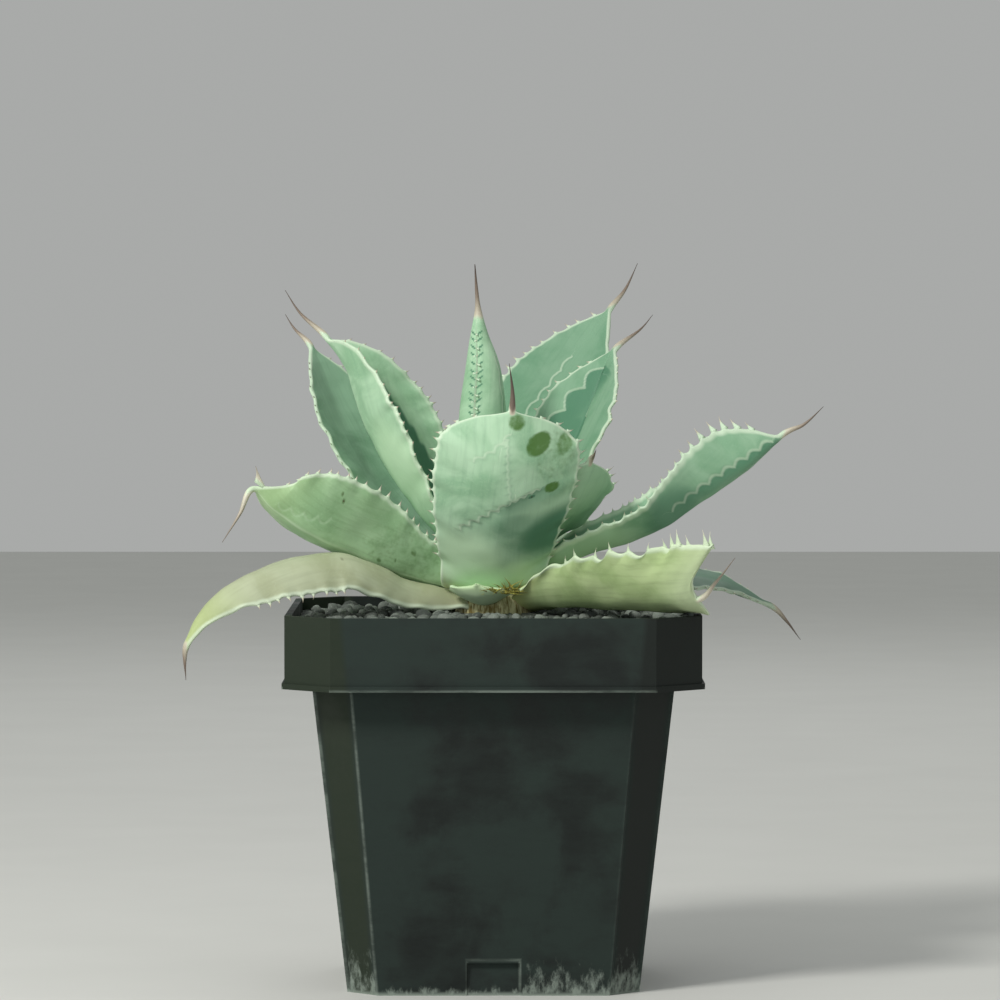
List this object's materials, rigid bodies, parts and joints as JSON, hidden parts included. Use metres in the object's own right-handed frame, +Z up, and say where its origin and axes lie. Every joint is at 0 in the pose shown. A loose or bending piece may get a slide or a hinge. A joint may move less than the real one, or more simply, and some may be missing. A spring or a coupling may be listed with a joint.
{
  "type": "potted agave",
  "caption": "Small agave rosette with broad toothed, spine-tipped leaves, growing in a square tapered nursery pot topped with grey grit.",
  "frame": {"origin": "centre of the pot's underside", "axes": "+Z up, -Y towards the face of the pot that the picture shows, +X to the right in it"},
  "size_m": [0.2034, 0.1751, 0.231],
  "materials": {
    "pot_plastic": "dusty moulded black polypropylene with lime marks",
    "potting_mix": "dark peat and bark",
    "grit": "dull grey pebbles",
    "leaf_base": "pale fibrous leaf bases",
    "leaf_mint": "waxy glaucous leaf skin",
    "leaf_shade": "darker waxy leaf skin",
    "leaf_olive": "older waxy leaf skin",
    "leaf_cream": "faded old leaf skin",
    "leaf_yellow": "yellowing leaf skin"
  },
  "bodies": {
    "root": {"pot": "pot_plastic", "soil": "potting_mix", "grit": "grit", "stem": "leaf_base", "leaf_front": "leaf_mint", "leaf_left_channelled": "leaf_mint", "leaf_left_back": "leaf_shade", "leaf_right_back_tall": "leaf_mint", "leaf_right_upright": "leaf_mint", "leaf_right_young": "leaf_mint", "leaf_right_long": "leaf_mint", "leaf_left_low": "leaf_olive", "leaf_left_arching": "leaf_cream", "leaf_right_low": "leaf_yellow", "leaf_right_drooping": "leaf_shade", "leaf_back": "leaf_shade", "leaf_back_low_right": "leaf_olive", "leaf_back_low_left": "leaf_olive", "withered_leaf_base": "leaf_cream", "bud": "leaf_mint"}
  },
  "joints": []
}
